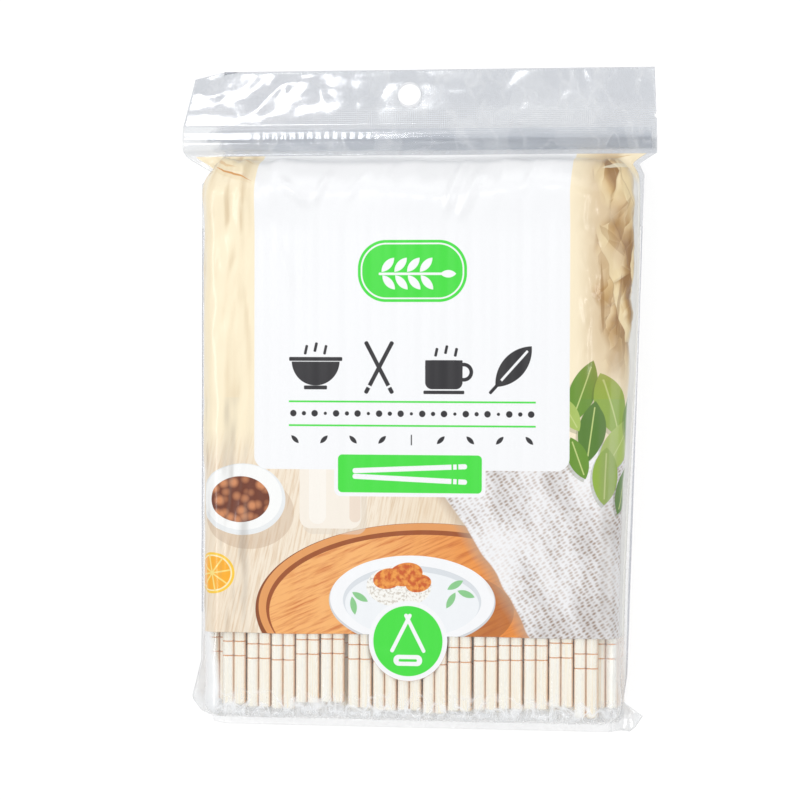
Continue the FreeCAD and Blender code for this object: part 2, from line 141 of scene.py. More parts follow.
def noise(x, y, shift=0.0):
    """Smooth noise from 0 to 1 with features one unit wide."""
    x, y = x + shift * 7.13, y + shift * 3.71
    i, j = np.floor(x).astype(int), np.floor(y).astype(int)
    u, v = x - i, y - j
    u, v = u * u * (3 - 2 * u), v * v * (3 - 2 * v)
    a, b, c, d = (table[(i + p) % TABLE_SIZE, (j + q) % TABLE_SIZE] for q in (0, 1) for p in (0, 1))
    return (a * (1 - u) + b * u) * (1 - v) + (c * (1 - u) + d * u) * v


def crumple(x, y, shift=0.0):
    """Facets between sharp creases, from 0 to 1, with features about one unit wide."""
    wx = x + 0.9 * noise(x * 0.8, y * 0.8, shift + 1)
    wy = y + 0.9 * noise(x * 0.8, y * 0.8, shift + 2)
    total, weight = 0.0, 0.0
    for octave, share in enumerate((1.0, 0.45, 0.2)):
        scale = 2.0**octave
        n = noise(wx * scale, wy * scale, shift + 3 + octave)
        total = total + share * np.abs(2 * n - 1)
        weight += share
    return total / weight


def smooth(low, high, value):
    """0 below low, 1 above high and a smooth turn between them."""
    t = np.clip((value - low) / (high - low), 0, 1)
    return t * t * (3 - 2 * t)


def window(rise, full, fall, end, value):
    """1 from full to fall and 0 outside rise and end, with smooth turns."""
    return smooth(rise, full, value) * (1 - smooth(fall, end, value))


def crease(x, y, start, end, width, height):
    """A straight fold from one point to another that fades out at both ends."""
    (x0, y0), (x1, y1) = start, end
    length = math.hypot(x1 - x0, y1 - y0)
    ux, uy = (x1 - x0) / length, (y1 - y0) / length
    along = (x - x0) * ux + (y - y0) * uy
    across = (y - y0) * ux - (x - x0) * uy
    ends = smooth(0, 0.3 * length, along) * smooth(0, 0.3 * length, length - along)
    return height * ends * np.maximum(0, 1 - np.abs(across) / width)


# The films as grids of points


def half_columns(height, corner):
    """From the edge of the seal to the top: fin share, filled x, height share and way round from the middle."""
    places = [(fin, WALL_X, 0.0) for fin in np.linspace(1, 0, 7)[:-1]]
    places += [(0.0, WALL_X, share) for share in np.linspace(0, (height - corner) / height, 7)]
    for turn in np.linspace(0, math.pi / 2, 11)[1:-1]:
        rise = height - corner + corner * math.sin(turn)
        places.append((0.0, WALL_X - corner * (1 - math.cos(turn)), rise / height))
    places = np.array(places)
    wall = places[places[:, 0] == 0]
    steps = np.hypot(np.diff(wall[:, 1]), height * np.diff(wall[:, 2]))
    way = WALL_X - corner + np.append(np.cumsum(steps[::-1])[::-1], 0) + corner * 0.157
    ways = np.concatenate([np.full(len(places) - len(wall), way[0]), way])
    return np.column_stack([places, ways])


def columns(height, corner, middle_count):
    """The same of all columns from left to right."""
    side = half_columns(height, corner)
    edge = WALL_X - corner
    middle = np.linspace(-edge, edge, middle_count)
    top = np.column_stack([np.zeros(middle_count), middle, np.ones(middle_count), middle])
    return np.concatenate([side * (1, -1, 1, -1), top, side[::-1]]).T


def rows(height, foot_round, shoulder_run, middle_count):
    """All rows from the foot to the header: y from the foot and height share."""
    ys = list(np.linspace(0, FOOT_SEAL, 5)[:-1])
    shares = [0.0] * 4
    lean = FOOT_LEAN / height
    for share in np.linspace(0, 1 - foot_round / height, 6)[:-1]:
        ys.append(FOOT_SEAL + lean * share * height)
        shares.append(share)
    start = FOOT_SEAL + FOOT_LEAN * (1 - foot_round / height)
    for turn in np.linspace(0, math.pi / 2, 8)[:-1]:
        ys.append(start + foot_round * (1 - math.cos(turn)))
        shares.append(1 - foot_round / height * (1 - math.sin(turn)))
    first = SHOULDER_Y - shoulder_run
    ys += list(np.linspace(start + foot_round, first, middle_count)[:-1])
    shares += [1.0] * (middle_count - 1)
    for t in np.linspace(0, 1, 22)[:-1]:
        ys.append(first + t * (ZIP_START - first))
        shares.append(1 - t**SHOULDER_POWER)
    header = list(np.linspace(ZIP_START, BAG_LENGTH, 36))
    return np.array(ys + header), np.array(shares + [0.0] * len(header))


def round_corners(x, y):
    """Turns the square corners of the filled part at the foot into round ones, and takes the seal along."""
    r = PLAN_ROUND
    side = np.sign(x)
    out_x, out_y = np.abs(x) - (WALL_X - r), (FOOT_SEAL + r) - y
    a, b = np.clip(out_x, 0, r), np.clip(out_y, 0, r)
    move_x = a * np.sqrt(1 - b * b / (2 * r * r)) - a
    move_y = b * np.sqrt(1 - a * a / (2 * r * r)) - b
    beyond = np.maximum(out_x, out_y) - r
    fade = 1 - smooth(0, 7, beyond)
    return x + side * move_x * fade, y - move_y * fade


def pierce(x, y, slip):
    """Draws the grid round the hang hole and says which cells fall inside it."""
    cx, cy = HOLE_AT[0] + slip[0], HOLE_AT[1] - FOOT + slip[1]
    row = np.abs(y[:, 0] - cy).argmin()
    inside_c = np.flatnonzero(np.abs(x[row] - cx) < HOLE_RADIUS * 0.9)
    inside_r = np.flatnonzero(np.abs(y[:, 0] - cy) < HOLE_RADIUS * 0.9)
    c0, c1, r0, r1 = inside_c[0], inside_c[-1], inside_r[0], inside_r[-1]
    dx, dy = x - cx, y - cy
    nx = np.where(dx > 0, dx / (x[row, c1] - cx), dx / (cx - x[row, c0]))
    ny = np.where(dy > 0, dy / (y[r1, 0] - cy), dy / (cy - y[r0, 0]))
    square = np.maximum(np.abs(nx), np.abs(ny))
    share = 1 - smooth(1.0, 2.6, square)
    scale = 1 + share * (square * HOLE_RADIUS / np.maximum(np.hypot(dx, dy), 1e-6) - 1)
    near = (square > 0) & (square < 2.6)
    x = np.where(near, cx + dx * scale, x)
    y = np.where(near, cy + dy * scale, y)
    hole = np.zeros((x.shape[0] - 1, x.shape[1] - 1), bool)
    hole[r0:r1, c0:c1] = True
    return x, y, hole


def zip_profile(x, y):
    """How far the film stands off the seam over the zip, with the ridges of the rails, pressed in places."""
    band = window(265, 266, 276, 277, y)
    dotted = (1 - smooth(-40, -10, x)) * smooth(-84, -72, x)
    pressed = 1 - (0.25 + 0.25 * np.cos(x * 1.5 + 5.0 * noise(x / 14, 0 * x, 41))) * dotted
    ridges = 0.0
    for place, width, height in ((268.6, 0.9, 0.45), (271.2, 0.8, 0.65), (273.6, 0.7, 0.35)):
        ridges = ridges + height * np.exp(-(((y - place - 0.5 * noise(x / 30, y * 0, place)) / width) ** 2))
    return 0.93 * band + ridges * band * pressed


def seam_waves(x, y):
    """The waves that both films share where they are sealed together: header, side seals and ears."""
    header = smooth(277, 286, y)
    edge = smooth(96, 104, np.abs(x)) * (1 - smooth(255, 262, y))
    wave = 0.9 * (noise(x / 34, y / 26, 1) - 0.5) * header
    wave = wave + 1.3 * (crumple(x / 27, y / 19, 2) - 0.3) * header * (0.5 + 0.5 * smooth(20, 90, np.abs(x)))
    wave = wave + 1.0 * (noise(x / 6, y / 11, 4) - 0.5) * edge
    ears = (1 - smooth(12, 34, y)) * smooth(94, 104, np.abs(x))
    wave = wave + ears * (2.2 * noise(x / 7, y / 6, 5) + 1.0)
    foot = (1 - smooth(2, 5, y)) * (1 - ears)
    return wave + foot * 1.2 * (noise(x / 9, y / 9, 6) - 0.5)


def mm_box(node):
    return [np.array(corner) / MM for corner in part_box(node)]


pair_boxes = [mm_box(f"chopstick_pair_{i:02d}") for i in range(1, PAIR_COUNT + 1)]
pair_centres = np.array([(low[0] + high[0]) / 2 for low, high in pair_boxes])


def front_relief(x, y, way):
    """How far the printed film stands off its plain form over the filled part, and how shaded its folds are."""
    body = window(6, 11, 258, 264, y)
    groove_at = (pair_centres[1:] + pair_centres[:-1]) / 2
    groove_wide = np.diff(pair_centres) - 2 * SLEEVE_HALF_WIDTH
    sag = 0.0
    for centre, wide in zip(groove_at, groove_wide):
        depth = 0.22 + 0.10 * wide
        sag = sag - depth * np.exp(-(((way - centre) / (2.0 + 0.3 * wide)) ** 2))
    for centre in pair_centres:
        sag = sag - 0.09 * np.exp(-(((way - centre) / 1.1) ** 2))
    on_top = 1 - smooth(84, 89, np.abs(way))
    under = window(4, 14, 232, 246, y)
    sag = sag * on_top * under * (0.65 + 0.7 * noise(way / 9, y / 42, 11))
    # long soft rises where the film isn't pulled down, most of them near the shoulder
    loose = 0.75 * noise(way / 17, y / 45, 12) * noise(way / 40, y / 60, 13) * on_top
    # pleats that run down the slope from the zip
    slope = window(226, 250, 261, 265, y)
    pleat_x = way + 3.0 * noise(way / 15, y / 12, 14)
    pleats = (crumple(pleat_x / 15, y / 30, 15) * 2.4 + 1.0 * noise(pleat_x / 5, y / 22, 16)) * slope
    pleats = pleats * (0.35 + 0.9 * noise(way / 26, y / 90, 17))
    # the right side, crushed into facets
    right = smooth(78, 85, way + 3 * noise(y / 9, 0 * y, 33)) * (1 - smooth(99, 106, way))
    right = right * window(150, 175, 254, 262, y)
    crushed = right * (3.0 * crumple(way / 13, y / 20, 18) + 0.9 * crumple(way / 5, y / 8, 19))
    # the left side, in long upright folds
    left = window(70, 78, 100, 108, -way) * smooth(20, 50, y)
    folds = left * (2.0 * crumple(way / 9, y / 62, 20) + 0.3 * noise(way / 3, y / 9, 21))
    # the foot, where the film is pulled over the ends of the sleeves
    foot = 1 - smooth(9, 26, y)
    foot = foot * (0.9 * crumple(way / 7, y / 8, 22) + 0.25 * noise(way / 2.5, y / 3, 23))
    foot = foot + (1 - smooth(30, 52, y)) * 0.35 * crumple(way / 26, y / 9, 25)
    sides = smooth(84, 92, np.abs(way)) * 0.9 * crumple(way / 9, y / 30, 24)
    relief = loose + pleats + crushed + folds + foot + sides + sag
    # painted shade for the print's colour: darker towards the right corner of the top, on the left folds where
    # they slope away, and down the right corner of the pack
    shaded = 0.55 * window(73, 89, 97, 103, way) * smooth(135, 190, y)
    shaded = shaded + 0.40 * left * smooth(0.05, 0.35, -np.gradient(folds, axis=1))
    shaded = shaded + 0.30 * window(86, 90, 92, 97, way) * window(30, 60, 120, 160, y)
    for start, end, width, height in CREASES:
        relief = relief + crease(way, y, start, end, width, height)
    return relief * body, np.clip(shaded, 0, 1)


# Folds listed on the printed front: two ends, half width and height; y from the foot.
CREASES = [
    ((-97, 262), (-74, 254), 2.2, 1.6),
    ((-62, 252), (-44, 239), 3.0, 1.3),
    ((-45, 239), (-36, 257), 2.5, 1.2),
    ((26, 263), (16, 233), 3.0, 1.8),
    ((22, 231), (35, 259), 3.6, 1.6),
    ((-66, 236), (-52, 196), 3.2, 0.5),
    ((-18, 258), (-30, 240), 2.4, 0.5),
    ((60, 262), (52, 244), 2.4, 0.7),
]


def film_points(front):
    """Grid points of one film, their places on the print with the shade of the folds, and the hole's cells."""
    column_count, row_count = FRONT_GRID if front else BACK_GRID
    height, corner = (FRONT_HEIGHT, FRONT_CORNER) if front else (BACK_HEIGHT, BACK_CORNER)
    foot_round, shoulder_run = (FOOT_ROUND, SHOULDER_RUN) if front else (2.0, 0.0)
    fins, filled_x, c, ways = columns(height, corner, column_count)[:, None]
    ys, k = (part[:, None] for part in rows(height, foot_round, shoulder_run, row_count))
    y = ys + 0 * ways
    loose = 6.0 * noise(ways / 15 + 0 * y, 0 * y, 10) * smooth(215, 243, y) * front
    full_share = np.interp((y - loose).ravel(), ys[:, 0], k[:, 0]).reshape(y.shape)
    full_share = np.where(y < ZIP_START - 1, full_share * smooth(ZIP_START, ZIP_START - 6, y), k)
    share = c * np.where(y < SHOULDER_Y / 2, k, full_share)
    left, right = (np.interp(ys, *zip(*edge)) for edge in (LEFT_EDGE, RIGHT_EDGE))
    outer = np.where(ways < 0, left, right)
    side = np.sign(ways)
    edge = WALL_X - corner
    beside = np.clip((np.abs(ways) - edge) / (ways[0, -1] - edge), 0, 1)
    inner = np.minimum(np.abs(ways), edge) * FLAT_SHARE
    flat = side * (inner + beside * (outer - FIN_WIDTH - edge * FLAT_SHARE) + fins * FIN_WIDTH)
    full = filled_x + side * fins * (outer - WALL_X)
    full = full + smooth(40, 200, y) * (1 - fins) * (1 - c) * np.where(ways > 0, RIGHT_LEAN, -LEFT_LEAN)
    full = full + RIGHT_SWELL * smooth(60, 235, y) * (smooth(84, 97, ways) * (1 - fins))
    filled_from = np.where(ys < SHOULDER_Y / 2, FILLED_FROM, 1.0)
    x = flat + (full - flat) * smooth(0, filled_from, k)
    x, y, hole = pierce(x, y, (0, 0) if front else HOLE_SLIP)
    x, y = round_corners(x, y)
    way = np.where(c < 1, ways, x)
    up = 1 if front else -1
    z = SEAM + seam_waves(x, y) * (1 - smooth(0, 0.2, share)) + up * (SEAM_GAP + height * share)
    z = z + up * zip_profile(x, y)
    points = np.stack([x, y, z], -1)
    if front:
        relief, shaded = front_relief(x, y, way)
    else:
        shaded = 0 * y
        relief = 0.5 * crumple(way / 14, y / 20, 31) * smooth(0.3, 1.0, share) * smooth(244, 256, y)
    points = points + normals(points, up) * (relief * smooth(0.0, 0.35, share))[..., None]
    points[..., 2] = np.maximum(points[..., 2], ABOVE_FLOOR)
    return points, np.stack([way + side * fins * FIN_WIDTH, y + FOOT, shaded], -1), hole


def normals(points, up=1):
    """Unit normals of a grid, on the upper side where up is 1."""
    n = np.cross(np.gradient(points, axis=1), np.gradient(points, axis=0))
    size = np.linalg.norm(n, axis=-1, keepdims=True)
    flat = np.zeros_like(n)
    flat[..., 2] = 1
    return np.where(size > 1e-6, n / np.maximum(size, 1e-6), flat) * up


def placed(name, data):
    """An object of the scene that shows a mesh, a lamp or a camera."""
    made = bpy.data.objects.new(name, data)
    bpy.context.scene.collection.objects.link(made)
    return made


def new_object(name, vertices, faces, material, print_at=None):
    """A smooth mesh object from points in millimetres, with the print's place of each where it has a print."""
    mesh = bpy.data.meshes.new(name)
    mesh.from_pydata((np.asarray(vertices) * MM).tolist(), [], faces)
    if print_at is not None:
        layer = mesh.attributes.new("print_at", "FLOAT_VECTOR", "POINT")
        layer.data.foreach_set("vector", np.asarray(print_at, np.float32).ravel())
    mesh.shade_smooth()
    mesh.materials.append(material)
    return placed(name, mesh)


def closed_sheet(name, points, print_at, hole, material):
    """A film with both faces and its cut edges, from the grid of its middle."""
    points = points.copy()
    points[..., 1] += FOOT
    offset = normals(points) * FILM / 2
    row_count, column_count = points.shape[:2]
    index = np.arange(row_count * column_count).reshape(row_count, column_count)
    quads = np.stack([index[:-1, :-1], index[:-1, 1:], index[1:, 1:], index[1:, :-1]], -1)[~hole]
    edges = np.concatenate([quads[:, [i, (i + 1) % 4]] for i in range(4)])
    key = edges[:, 0] * index.size + edges[:, 1]
    back_key = edges[:, 1] * index.size + edges[:, 0]
    rim = edges[~np.isin(key, back_key)]
    used = np.unique(quads)
    renumber = np.full(index.size, -1)
    renumber[used] = np.arange(len(used))
    top, low = (points + offset).reshape(-1, 3)[used], (points - offset).reshape(-1, 3)[used]
    count = len(used)
    quads, rim = renumber[quads], renumber[rim]
    walls = np.stack([rim[:, 1], rim[:, 0], rim[:, 0] + count, rim[:, 1] + count], -1)
    faces = np.concatenate([quads, quads[:, ::-1] + count, walls]).tolist()
    at = np.concatenate([print_at.reshape(-1, 3)[used]] * 2)
    return new_object(name, np.concatenate([top, low]), faces, material, at), at


# Materials as sums on node sockets


class Field:
    """A socket of a material. Sums on it add nodes."""

    def __init__(self, tree, socket):
        self.tree, self.socket = tree, socket

    def node(self, kind, operation, values, output=0):
        made = new_node(self.tree, kind)
        made.operation = operation
        for slot, value in zip(made.inputs, values):
            if isinstance(value, Field):
                self.tree.links.new(value.socket, slot)
            else:
                slot.default_value = value
        return Field(self.tree, made.outputs[output])

    def math(self, operation, *values):
        return self.node("Math", operation, (self, *values))

    def vector(self, operation, *values, output=0):
        return self.node("VectorMath", operation, (self, *values), output)

    def __add__(self, other):
        return self.math("ADD", other)

    def __sub__(self, other):
        return self.math("SUBTRACT", other)

    def __mul__(self, other):
        return self.math("MULTIPLY", other)

    def above(self, edge, soft=0.12):
        """1 where the value is above the edge and 0 below it, with a ramp of two softs between."""
        made = self.math("MULTIPLY_ADD", 0.5 / soft, 0.5 - edge * 0.5 / soft)
        made.socket.node.use_clamp = True
        return made

    def below(self, edge, soft=0.12):
        return self.above(edge, -soft)


def local(point, x, y, turn=0.0):
    """The point seen from a motif's own place, turned by some degrees."""
    away = point.vector("SUBTRACT", (x, y, 0))
    if turn == 0:
        return away
    c, s = math.cos(math.radians(turn)), math.sin(math.radians(turn))
    made = new_node(point.tree, "CombineXYZ")
    for slot, direction in zip(made.inputs, ((c, s, 0), (-s, c, 0))):
        point.tree.links.new(away.vector("DOT_PRODUCT", direction, output=1).socket, slot)
    return Field(point.tree, made.outputs[0])


def disc(point, x, y, radius, squash=1.0, turn=0.0):
    """A round patch, or an oval one whose second half width is squash times the first."""
    away = local(point, x, y, turn)
    if squash != 1:
        away = away.vector("MULTIPLY", (1, 1 / squash, 1))
    return away.vector("LENGTH", output=1).below(radius)


def bar(point, x, y, half_x, half_y, corner=0.0, turn=0.0):
    """A rounded rectangle."""
    corner = max(corner, 0.15)
    away = local(point, x, y, turn).vector("ABSOLUTE")
    away = away.vector("SUBTRACT", (half_x - corner, half_y - corner, 0)).vector("MAXIMUM", (0, 0, 0))
    return away.vector("LENGTH", output=1).below(corner)


def leaf(point, x, y, half_length, half_width, turn=0.0):
    """A leaf pointed at both ends."""
    radius = (half_length**2 + half_width**2) / (2 * half_width)
    away = local(point, x, y, turn).vector("ABSOLUTE").vector("ADD", (0, radius - half_width, 0))
    return away.vector("LENGTH", output=1).below(radius)


def texture(point, scale, detail=2.0, rough=0.5, stretch=(1.0, 1.0), turn=0.0):
    """Cloudy noise from 0 to 1 on a point in millimetres; stretch draws it out along each direction."""
    seen = local(point, 0, 0, turn).vector("DIVIDE", (*stretch, 1))
    made = new_node(point.tree, "TexNoise", Vector=seen, Scale=scale, Detail=detail, Roughness=rough)
    return Field(point.tree, made.outputs["Fac"])


def cells(point, scale, loose, stretch=(1.0, 1.0), turn=0.0):
    """How far a point is from the nearest of many scattered dots, in shares of their spacing."""
    seen = local(point, 0, 0, turn).vector("DIVIDE", (*stretch, 1))
    made = new_node(point.tree, "TexVoronoi", Vector=seen, Scale=scale, Randomness=loose)
    return Field(point.tree, made.outputs["Distance"])


def srgb(red, green, blue):
    """A colour given as it shows on screen, 0 to 255."""
    return tuple((v / 255 / 12.92) if v < 11 else (((v / 255) + 0.055) / 1.055) ** 2.4
                 for v in (red, green, blue)) + (1.0,)


def over(under, colour, mask):
    """A colour laid on another where the mask is 1. Each is a Field, a colour as shown on screen, or RGBA."""
    made = new_node(mask.tree, "Mix")
    made.data_type = "RGBA"
    mask.tree.links.new(mask.socket, made.inputs[0])
    for slot, value in ((made.inputs[6], under), (made.inputs[7], colour)):
        if isinstance(value, Field):
            mask.tree.links.new(value.socket, slot)
        else:
            slot.default_value = srgb(*value) if len(value) == 3 else value
    return Field(mask.tree, made.outputs[2])


def new_node(tree, kind, **values):
    """A shader node; a Field is linked and a number is set on the socket."""
    made = tree.nodes.new("ShaderNode" + kind)
    for name, value in values.items():
        slot = made.inputs[name.replace("_", " ")]
        if isinstance(value, Field):
            tree.links.new(value.socket, slot)
        else:
            slot.default_value = value
    return made


def new_material(name):
    """A material without nodes, and its node tree."""
    material = bpy.data.materials.new(name)
    material.use_nodes = True
    material.node_tree.nodes.clear()
    return material, material.node_tree


def finished(material, made):
    """The material, once it shows a shader."""
    output = new_node(material.node_tree, "OutputMaterial")
    material.node_tree.links.new(made.outputs[0], output.inputs[0])
    return material


def mixed(tree, factor, first, second):
    """One shader where the factor is 0 and another where it is 1."""
    made = new_node(tree, "MixShader", Fac=factor)
    tree.links.new(first.outputs[0], made.inputs[1])
    tree.links.new(second.outputs[0], made.inputs[2])
    return made


def bumped(tree, height, strength, distance):
    """The surface's direction where a height lies on it, from the height's full reach in metres."""
    made = new_node(tree, "Bump", Strength=strength, Distance=distance, Height=height)
    return Field(tree, made.outputs[0])


def clear_film(tree, tint, haze, normal):
    """A thin clear film: it shines by its angle, is a little milky and lets light through to what it covers."""
    clear = new_node(tree, "BsdfTransparent", Color=tint)
    milky = new_node(tree, "BsdfDiffuse", Color=(0.965, 0.97, 0.975, 1), Normal=normal)
    gloss = new_node(tree, "BsdfGlossy", Color=(1, 1, 1, 1), Roughness=FILM_GLOSS, Normal=normal)
    behind = Field(tree, new_node(tree, "NewGeometry").outputs["Backfacing"])
    bend = behind * (1 / FILM_IOR - FILM_IOR) + FILM_IOR
    rim = Field(tree, new_node(tree, "Fresnel", IOR=bend, Normal=normal).outputs[0])
    seen = mixed(tree, rim, mixed(tree, haze, clear, milky), gloss)
    path = new_node(tree, "LightPath").outputs
    open_to = Field(tree, path["Is Shadow Ray"]).math("MAXIMUM", Field(tree, path["Is Diffuse Ray"]))
    passing = new_node(tree, "BsdfTransparent", Color=(0.998, 0.998, 0.998, 1))
    return mixed(tree, open_to, seen, passing)


def scaled_position(tree):
    """Where a point lies, in millimetres."""
    place = Field(tree, new_node(tree, "NewGeometry").outputs["Position"])
    return place.vector("MULTIPLY", (1 / MM, 1 / MM, 1 / MM))


def parts(point):
    """The X, Y and Z of a vector."""
    made = new_node(point.tree, "SeparateXYZ", Vector=point)
    return [Field(point.tree, socket) for socket in made.outputs]


GREEN = (66, 226, 62)
WHITE = (250, 250, 251)
INK = (38, 36, 40)
CREAM = (255, 240, 208)
FOLD_SHADE = (186, 146, 90)


class Zone:
    """The print on one zone of the film: colours laid one on another, where they reach the zone."""

    def __init__(self, tree, low, high):
        made = new_node(tree, "Attribute")
        made.attribute_name = "print_at"
        self.tree, self.low, self.high = tree, low, high
        at = Field(tree, made.outputs["Vector"])
        self.point = at.vector("MULTIPLY", (1, 1, 0))
        self.x, self.y, self.shade = parts(at)
        self.colour = srgb(*CREAM)

    def lay(self, colour, shape, x, y, *size, part=1.0):
        """Lays a colour, or what a function of the zone gives, over a motif that comes near the zone."""
        first = second = size[0]
        if shape is bar:
            second = size[1]
            if len(size) > 3:
                first = second = max(first, second)
        elif shape is disc and len(size) > 1:
            second = size[1] * first
        across, along = first + ZONE_MARGIN, second + ZONE_MARGIN
        if (self.low[0] < x + across and x - across < self.high[0]
                and self.low[1] < y + along and y - along < self.high[1]):
            mask = shape(self.point, x, y, *size)
            self.fill(colour, mask if part == 1 else mask * part)

    def fill(self, colour, mask):
        """Lays a colour where a mask is 1."""
        self.colour = over(self.colour, colour(self) if callable(colour) else colour, mask)


def table_wood(zone):
    grain = texture(zone.point, 0.5, 3, 0.6, (9.0, 0.55), 78)
    wood = over((252, 240, 222), (214, 180, 142), grain.above(0.62, 0.16))
    planks = texture(zone.point, 0.02, 0, 0.5, (40.0, 0.9), 78)
    return over(wood, (236, 212, 178), planks.above(0.5, 0.2) * 0.5)


def board_wood(zone):
    grain = texture(zone.point, 0.35, 3, 0.65, (7.0, 0.6), 24)
    bright = over((250, 182, 110), (238, 146, 60), zone.x.above(10, 30))
    return over(bright, (204, 104, 40), grain.above(0.60, 0.14))


def rice(zone):
    return over((252, 250, 244), (214, 206, 194), texture(zone.point, 0.8).above(0.56, 0.08))


def topping(zone):
    return over((244, 160, 70), (206, 92, 30), texture(zone.point, 0.4).above(0.5, 0.1))


def linen(zone):
    dots = cells(zone.point, 0.56, 0.35, (1.5, 0.8), 32)
    folds = texture(zone.point, 0.05, 2, 0.5, (1.0, 2.4), 20)
    hole = over((222, 210, 202), (150, 120, 96), folds.above(0.52, 0.14))
    cloth = over(hole, (243, 242, 243), dots.above(0.33, 0.18))
    cloth = over(cloth, (160, 148, 140), folds.above(0.62, 0.13) * 0.5)
    return over(cloth, (253, 252, 252), folds.below(0.42, 0.12) * 0.6)


def nuts(zone):
    return over((214, 140, 92), (112, 52, 26), cells(zone.point, 0.22, 1.0).above(0.42, 0.2))


def table_picture(zone):
    """The lower picture: a laid table in plain shapes."""
    lay = zone.lay
    if zone.low[1] > 0:
        return
    zone.fill(table_wood, zone.y.below(-22, 9))
    # a round board with a dish on it
    lay((214, 176, 134), disc, 12, -99, 82, 0.50, part=0.6)
    lay((140, 72, 28), disc, 9, -96, 80, 0.50)
    lay((232, 158, 92), disc, 9, -95, 78.5, 0.495)
    lay((158, 80, 30), disc, 9, -95.6, 75.0, 0.485)
    lay(board_wood, disc, 9, -97, 73.5, 0.485)
    lay((150, 78, 34), disc, 9, -96, 40, 0.5, part=0.55)
    lay((214, 216, 218), disc, 2, -91.5, 38.5, 0.53)
    lay((250, 250, 251), disc, 2, -90.8, 38, 0.525)
    lay((222, 226, 230), disc, 2, -91.5, 32, 0.5)
    lay((244, 246, 248), disc, 2, -93.0, 31, 0.48)
    # rice with a topping, and herbs
    lay(rice, disc, -4, -85, 15, 0.62)
    for x, y, radius in ((-9, -81.5, 7), (-1, -79.5, 8), (5, -83.5, 6)):
        lay(topping, disc, x, y, radius, 0.66, 12)
    for x, y, turn in ((22, -84, 30), (27, -88, -20), (20, -91, 60), (-22, -90, 150), (-25, -94, 100)):
        lay((140, 205, 140), leaf, x, y, 4.2, 1.5, turn)
    # folded linen on the right
    if zone.high[0] > 0:
        edge = zone.x + texture(zone.point, 0.06, 1) * 6 + zone.y * 0.62
        zone.fill((188, 164, 140), edge.above(-10.0, 3.0) * zone.y.below(-21, 1.0) * 0.6)
        zone.fill(linen, edge.above(-6.0, 0.4) * zone.y.below(-19, 1.0))
    # leaves hanging in from the right
    greens = ((104, 148, 40), (146, 178, 62), (84, 126, 40), (172, 196, 96))
    spread = ((80, 4, 15, 6, 250), (92, -2, 15, 6.5, 285), (84, -14, 14, 6, 262), (96, -20, 15, 6.5, 240),
              (78, -26, 10, 4.5, 290), (90, -34, 13, 5.5, 268), (100, -40, 12, 5, 250), (74, -6, 9, 4, 300),
              (104, -8, 12, 6, 270))
    for i, (x, y, long, wide, turn) in enumerate(spread):
        lay((70, 96, 34), leaf, x - 1, y - 1.4, long, wide, turn, part=0.35)
        lay(greens[i % len(greens)], leaf, x, y, long, wide, turn)
        lay((196, 212, 130), bar, x, y, long * 0.8, 0.3, 0.25, turn)
    # a dish of nuts, a cup and a slice of orange on the left
    lay((206, 178, 150), disc, -74, -52, 21, 0.8, part=0.5)
    lay((238, 240, 240), disc, -77, -46, 20, 0.82)
    lay((252, 252, 250), disc, -77, -45, 18.4, 0.82)
    lay(nuts, disc, -78, -46, 13.5, 0.78)
    lay((226, 214, 198), bar, -34, -44, 15, 17.6, 5, part=0.5)
    lay((250, 241, 228), bar, -36, -42, 14.4, 17, 5)
    lay((255, 250, 242), bar, -42, -42, 4, 15, 4, part=0.7)
    lay((232, 204, 180), bar, -24.5, -42, 2.6, 14, 2.4, part=0.5)
    lay((255, 206, 60), disc, -91, -80, 10.5, 0.9)
    lay((255, 240, 190), disc, -91, -80, 9.3, 0.9)
    lay((255, 178, 30), disc, -91, -80, 8.6, 0.9)
    for turn in (10, 55, 100, 145):
        lay((255, 226, 130), bar, -91, -80, 8.4, 0.35, 0.2, turn)


